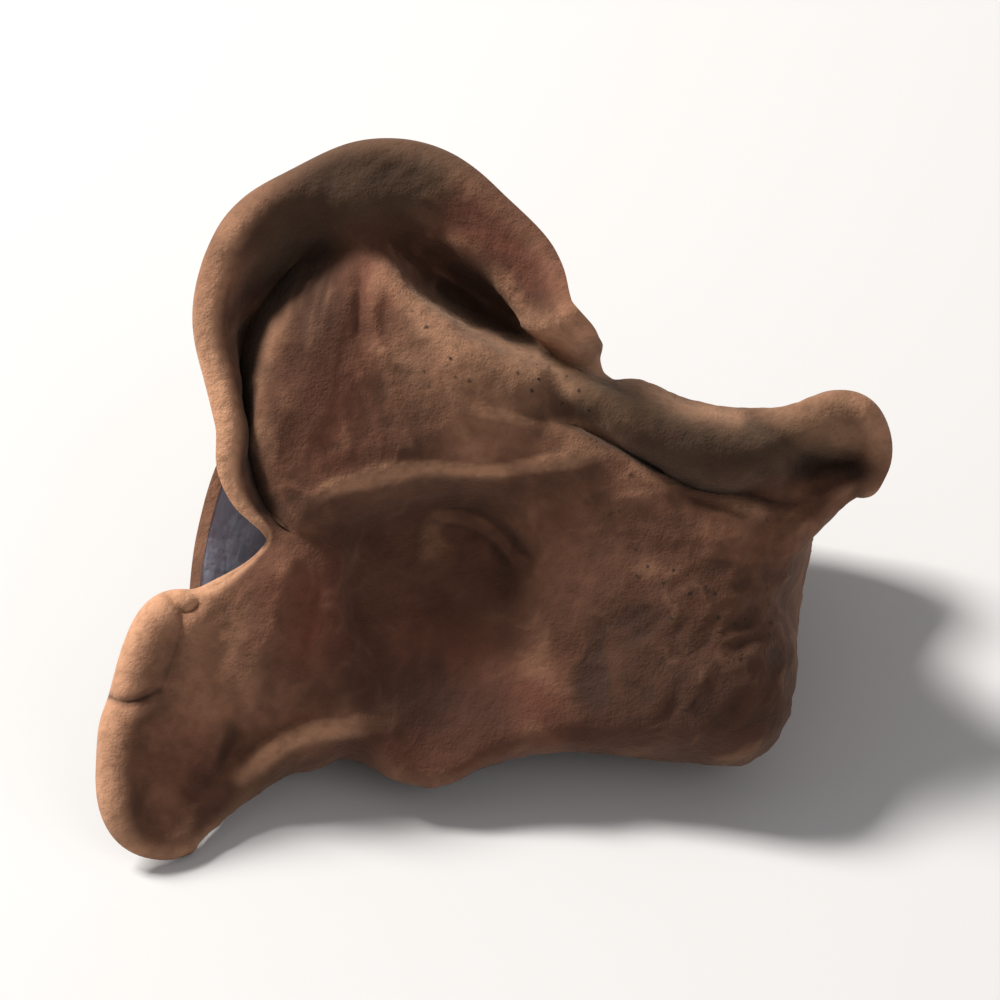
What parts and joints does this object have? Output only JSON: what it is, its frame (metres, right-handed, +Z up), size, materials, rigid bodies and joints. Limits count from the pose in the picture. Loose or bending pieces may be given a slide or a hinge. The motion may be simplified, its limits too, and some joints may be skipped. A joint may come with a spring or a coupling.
{
  "type": "dried wood ear mushroom",
  "caption": "Dried wood ear fungus: a thin crumpled cup with a fuzzy brown outside, a smooth dark inside, a hooded fold, a notched edge and a curled margin.",
  "frame": {"origin": "on the ground under the middle of the ear's box, resting on its belly", "axes": "+X along the ear's longest side, toward its attachment; -Y to the fuzzy front wall that leans back; +Z up, toward the hood"},
  "size_m": [0.0696, 0.0526, 0.048],
  "materials": {
    "wood_ear": "matte, finely fuzzy and wrinkled outside; smooth, dark and slightly glossy inside"
  },
  "bodies": {
    "root": {"wood_ear": "wood_ear"}
  },
  "joints": []
}
